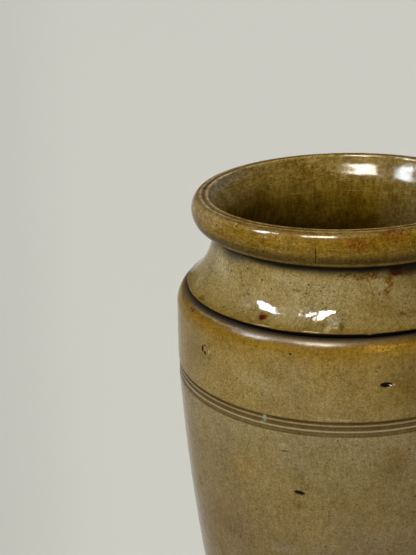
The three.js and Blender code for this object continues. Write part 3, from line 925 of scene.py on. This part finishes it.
# Painted shade in the folds: under the collar from both sides, and where the roll springs from the neck
foldShade = {
    "colour": (0.006, 0.0035, 0.001), "share": 0.97,
    "radii": (82.0 * mm, 77.0 * mm), "seam": (-3 * mm, -1 * mm),      # on the shoulder, and below the seam
    "under": -0.5 * mm,                                               # below the collar's edge
    "foldOut": 1.2 * mm, "foldUp": 0.8 * mm, "fold": (7.2 * mm, 3.0 * mm),    # place and reach, by the neck
}
bareClay = {
    "colour": (0.30, 0.215, 0.125, 1), "top": 4.5 * mm, "edge": 0.8 * mm, "wander": 5 * mm, "dark": 0.75,
    "mottle": 0.5,
}
gloss = {
    "specular": 0.10, "ior": 1.5, "bump": 0.35, "bumpDepth": 0.35 * mm,
    "glossy": 0.055, "soft": 0.15, "dull": 0.22, "clay": 0.85,            # roughnesses
    "collar": (256, 257, 284, 286), "crest": (249, 252, 254.8, 255.2), "crestMore": 0.035,    # levels (mm)
    "dulled": (0.5, 0.75), "pitted": (0.46, 0.56, 0.0, 0.5), "folds": 0.6,
    "swells": {"swell": 1.6, "peel": 0.5, "prickle": 0.10},               # heights in the bump
    "smallSpeck": 0.05, "bigSpeck": 0.15, "clayGrain": 0.3, "pits": (0.46, 0.60, 0.0, 1.3), "combing": 0.35,
}


# The glaze of one section, laid coat over coat
class Glaze(Graph):
    def __init__(self, tree, lowest, highest):  # lowest and highest: levels that the section spans
        super().__init__(tree)
        self.lowest, self.highest = lowest, highest
        self.place = self.add("ShaderNodeTexCoord", output="Object")
        self.x, self.y, self.z = self.parts(self.place)
        turned = self.add("ShaderNodeAttribute", {"attribute_name": "turned"}, output="Vector")
        self.radius, self.inside, self.level = self.parts(turned)
        self.outside = 1 - self.inside
        self.made = {}                            # noises that are there already
        self.masks = {}                           # where the marks, specks, folds and bare clay are
        self.colour = None

    def noise(self, name):
        if name not in self.made:
            scale, detail, seed, squash, rough = noises[name]
            where = self.vector(self.x + seed, self.y + seed, self.z * squash)
            self.made[name] = self.add("ShaderNodeTexNoise", None, {
                "Vector": where, "Scale": scale, "Detail": detail, "Roughness": rough})
        return self.made[name]

    def shaken(self, reach):  # the place, shifted so that edges come out uneven
        scale = next(scale for least, scale in shakes if reach > least)
        if scale not in self.made:
            self.made[scale] = self.add("ShaderNodeTexNoise", None,
                                        {"Vector": self.place, "Scale": scale, "Detail": 2.0}, 1)
        shift = self.add("ShaderNodeVectorMath", {"operation": "MULTIPLY_ADD"},
                         {0: self.made[scale], 1: (reach,) * 3, 2: (-reach / 2,) * 3})
        return self.add("ShaderNodeVectorMath", {"operation": "ADD"}, {0: self.place, 1: shift})

    def within(self, low, high, top, end):  # 1 from high to top, 0 below low and above end (mm)
        return self.level.ease(low * mm, high * mm) * self.level.ease(top * mm, end * mm, 1.0, 0.0)

    def line(self, level, edge, core):  # 1 within core of a level, 0 beyond edge
        return abs(self.level - level).ease(edge, core)

    def lay(self, share, colour, mode="MIX"):
        if isinstance(colour, tuple):
            colour = colour + (1,)
        self.colour = self.blend(share, self.colour, colour, mode)


def layTones(glaze):
    low, high, below, above = toneWander
    wander = (glaze.noise("borders") - 0.5) * glaze.level.ease(low * mm, high * mm, below, above)
    sides = []
    for tones in (outsideTones, insideTones):
        stops = [(at * mm / lipLevel, colour + (1,)) for at, colour in tones]
        sides.append(glaze.add("ShaderNodeValToRGB", {"stops": stops},
                               {"Fac": glaze.level / lipLevel + wander}, "Color"))
    glaze.colour = glaze.blend(glaze.inside, *sides)


def layCoats(glaze):
    for coat in coats.values():
        outer, inner = coat["share"]
        share = mixed(outer, inner, glaze.inside)
        if "noise" in coat:
            name, low, high = coat["noise"]
            share = glaze.noise(name).ease(low, high) * share
        for low, high, below, above in coat.get("levels", ()):
            share = share * glaze.level.ease(low * mm, high * mm, below, above)
        if "across" in coat:
            near, far = coat["across"]
            share = share * glaze.x.ease(near * mm, far * mm)
        if "line" in coat:
            share = share * glaze.line(*(value * mm for value in coat["line"]))
        glaze.lay(share, coat["colour"])


def spread(glaze, kind):  # all the marks of a kind on this section, or None
    total = where = None
    for around, level, wide, high, strength, fade, *tilt in marks[kind]:
        if not glaze.lowest - high * mm < level * mm < glaze.highest + high * mm:
            continue
        if where is None:
            where = glaze.shaken(stains[kind]["wander"])
        angle, radius = radians(around), outerRadius(level * mm)
        local = glaze.add("ShaderNodeMapping", {"vector_type": "TEXTURE"}, {
            "Vector": where, "Location": (radius * cos(angle), radius * sin(angle), level * mm),
            "Rotation": (radians(tilt[0] if tilt else 0), 0, angle),
            "Scale": (max(markDepth, wide / 4) * mm, wide / 2 * mm, high / 2 * mm)})
        middle = glaze.add("ShaderNodeTexGradient", {"gradient_type": "SPHERICAL"}, {"Vector": local}, 1)
        mask = middle.ease(0.0, fade) * strength
        total = mask if total is None else total.calc("MAXIMUM", mask)
    return None if total is None else total * glaze.outside


def layMarks(glaze, kinds):
    for kind in kinds:
        share = glaze.masks[kind] = spread(glaze, kind)
        if share and "speckled" in stains[kind]:
            share = share * glaze.noise("fleck").ease(*stains[kind]["speckled"])
        if share:
            glaze.lay(share, stains[kind]["colour"])


def specked(glaze, speck):
    where = glaze.vector(glaze.x + speck["seed"], glaze.y, glaze.z)
    node = glaze.add("ShaderNodeTexVoronoi", {"feature": "F1"},
                     {"Vector": where, "Scale": speck["scale"]}, None)
    chosen = glaze.parts(Flow(glaze, node.outputs["Color"]))[0].ease(*speck["chosen"])
    return Flow(glaze, node.outputs["Distance"]).ease(*speck["size"]) * chosen


def laySpecks(glaze):  # iron specks and craze lines
    clusters = glaze.noise("clusters").ease(*specks["clusters"])
    small = glaze.masks["smallSpecks"] = specked(glaze, specks["small"]) * clusters
    big = glaze.masks["bigSpecks"] = specked(glaze, specks["big"])
    cells = glaze.add("ShaderNodeTexVoronoi", {"feature": "DISTANCE_TO_EDGE"}, {
        "Vector": glaze.shaken(specks["veinWander"]), "Scale": specks["veinScale"]}, "Distance")
    low, high, below, above = specks["veinShare"]
    veins = cells.ease(specks["veinWidth"], 0.0) * clusters
    veins = veins * glaze.level.ease(low * mm, high * mm, below, above)
    glaze.lay(small * specks["small"]["share"] + big * specks["big"]["share"] + veins, specks["colour"])


def layTexture(glaze):
    onRim = glaze.level.ease(graining["rim"][0] * mm, graining["rim"][1] * mm)
    stray = sum((glaze.noise(name) - 0.5) * (onRim * rim + glaze.inside * inner + everywhere)
                for name, (everywhere, rim, inner) in grains.items())
    stray = stray.calc("MAXIMUM", graining["darkest"]).calc("MINIMUM", graining["palest"])
    blue = onRim * graining["rimBlue"] + graining["blue"]    # the darks are browner
    glaze.lay(1.0, glaze.vector(stray * graining["red"] + 1, stray + 1, stray * blue + 1), "MULTIPLY")


def layLines(glaze):  # pooled in the incised lines and thin on their crests
    pooled = sum(glaze.line(bandFoot + lift, wide * pooling["edge"], wide * pooling["core"]) * dark
                 for lift, wide, _, dark in lines["cuts"])
    for name, lift in (("scratch", lines["scratch"]), ("belt", lines["middle"])):
        edge, core, share = pooling[name]
        pooled = pooled + glaze.line(bandFoot + lift, edge, core) * share
    uneven = (glaze.noise("clouds") * pooling["clouds"] + glaze.noise("mottle") * pooling["mottle"]
              + pooling["least"])
    glaze.lay(pooled * uneven * glaze.outside, pooling["colour"])
    # paler on the crests between the lines: thin glaze and a painted highlight
    for lift, share in lines["ridges"]:
        crest = glaze.line(bandFoot + lift, *pooling["ridge"]) * glaze.outside
        glaze.lay(crest * share, pooling["ridgeColour"])


def layLip(glaze):
    onLip = glaze.level.ease(*(lipLevel + level for level in lipStripes["levels"]))
    across = (glaze.radius - (roll["lipRadius"] + lipStripes["start"])) / lipStripes["width"]
    stops = [(along, (bright / 2,) * 3 + (1,)) for along, bright in lipStripes["stops"]]
    bright = glaze.add("ShaderNodeValToRGB", {"stops": stops}, {"Fac": across}, "Color") * 2
    glaze.lay(onLip, glaze.blend(1.0, glaze.colour, bright, "MULTIPLY"))


def layFoldShade(glaze):
    # painted shade: the shoulder darkens in under the collar, and the collar's underside and the neck under
    # the roll darken
    atNeck = glaze.level.ease(*(neckFoot + level for level in foldShade["seam"]))
    if glaze.highest < edgeLevel:                 # the shoulder darkens in under the collar
        shade = glaze.radius.ease(*foldShade["radii"]) * atNeck
    else:
        under = glaze.level.ease(edgeLevel, edgeLevel + foldShade["under"]) * atNeck
        out = glaze.radius - (neckRadius + foldShade["foldOut"])
        up = glaze.level - (rimFoot + foldShade["foldUp"])
        fold = (out * out + up * up).calc("SQRT").ease(*foldShade["fold"])
        shade = under.calc("MAXIMUM", fold)
    glaze.masks["folds"] = shade
    glaze.lay(shade * glaze.outside * foldShade["share"], foldShade["colour"])


def layClay(glaze):  # bare below the glaze's uneven edge, at the foot
    edge = (glaze.noise("clayEdge") - 0.5) * bareClay["wander"]
    share = (glaze.z + edge).ease(bareClay["top"], bareClay["top"] - bareClay["edge"]) * glaze.outside
    mottled = glaze.noise("mottle") * bareClay["mottle"] + bareClay["dark"]
    glaze.masks["clay"] = share
    glaze.lay(share, glaze.blend(1.0, bareClay["colour"], mottled, "MULTIPLY"))


def roughness(glaze):
    masks = glaze.masks
    sharp, onCrest = (glaze.within(*gloss[name]) * glaze.outside for name in ("collar", "crest"))
    even = mixed(gloss["soft"], gloss["glossy"], sharp) + onCrest * gloss["crestMore"]
    dull = mixed(even, gloss["dull"], glaze.noise("dulled").ease(*gloss["dulled"]))
    rough = mixed(dull, gloss["clay"], masks["clay"]) + masks["folds"] * gloss["folds"]
    if masks["pitted"]:
        rough = rough + masks["pitted"] * glaze.noise("fleck").ease(*gloss["pitted"])
    return rough


def bumped(glaze):
    masks = glaze.masks
    height = (sum(glaze.noise(name) * high for name, high in gloss["swells"].items())
              - masks["smallSpecks"] * gloss["smallSpeck"] - masks["bigSpecks"] * gloss["bigSpeck"]
              + glaze.noise("grain") * masks["clay"] * gloss["clayGrain"]
              + glaze.noise("combed") * glaze.inside * gloss["combing"])
    if masks["pitted"]:
        height = height - masks["pitted"] * glaze.noise("fleck").ease(*gloss["pits"])
    return glaze.add("ShaderNodeBump", None, {"Strength": gloss["bump"], "Distance": gloss["bumpDepth"],
                                              "Height": height}, "Normal")


def glazed(name, lowest, highest):
    material, shader = newMaterial(name)
    shader.inputs["Specular IOR Level"].default_value = gloss["specular"]
    shader.inputs["IOR"].default_value = gloss["ior"]
    glaze = Glaze(material.node_tree, lowest, highest)
    layTones(glaze)
    layCoats(glaze)
    layMarks(glaze, [kind for kind in stains if kind != "chip"])
    laySpecks(glaze)
    layTexture(glaze)
    layLines(glaze)
    layMarks(glaze, ["chip"])
    layLip(glaze)
    layFoldShade(glaze)
    layClay(glaze)
    for socket, flow in (("Base Color", glaze.colour), ("Roughness", roughness(glaze)),
                         ("Normal", bumped(glaze))):
        material.node_tree.links.new(flow.socket, shader.inputs[socket])
    print(name, "laid with", len(material.node_tree.nodes), "nodes")
    return material


# Each section: its node, its piece, its material slot, its outline and its inputs of the throwing tree
sections = (
    ("base", "thrown_base", "foot_clay", baseOutline(), {"Segments": wall["segments"]}),
    ("lower_wall", "thrown_wall", "wall_glaze", wallOutline(), {"Segments": wall["segments"]}),
    ("shoulder_band", "thrown_band", "band_glaze", bandOutline(),
     {"Segments": shoulder["segments"], "Ring": hand["neckRing"]}),
    ("neck_collar", "thrown_collar", "collar_glaze", collarOutline(),
     {"Segments": collar["segments"], "Press": hand["press"], "Ridge": hand["neckRidge"],
      "Ring": hand["neckRing"]}),
    ("rim_roll", "thrown_rim", "rim_glaze", rimOutline(),
     {"Segments": roll["segments"], "Ridge": hand["rimRidge"], "Ring": hand["rimRing"]}),
)
outsideRun = tuple(zip(*sorted((level, radius) for section in sections
                               for radius, inside, level in section[3] if not inside)))
for node, name, slotName, outline, inputs in sections:
    levels = [level for radius, inside, level in outline]
    lowest, highest = min(levels), max(levels)
    piece = thrown(name, outline, {"Glaze": glazed(slotName, lowest, highest), **inputs})
    dented(piece, lowest, highest)
    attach(piece, "root")
    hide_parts(node)
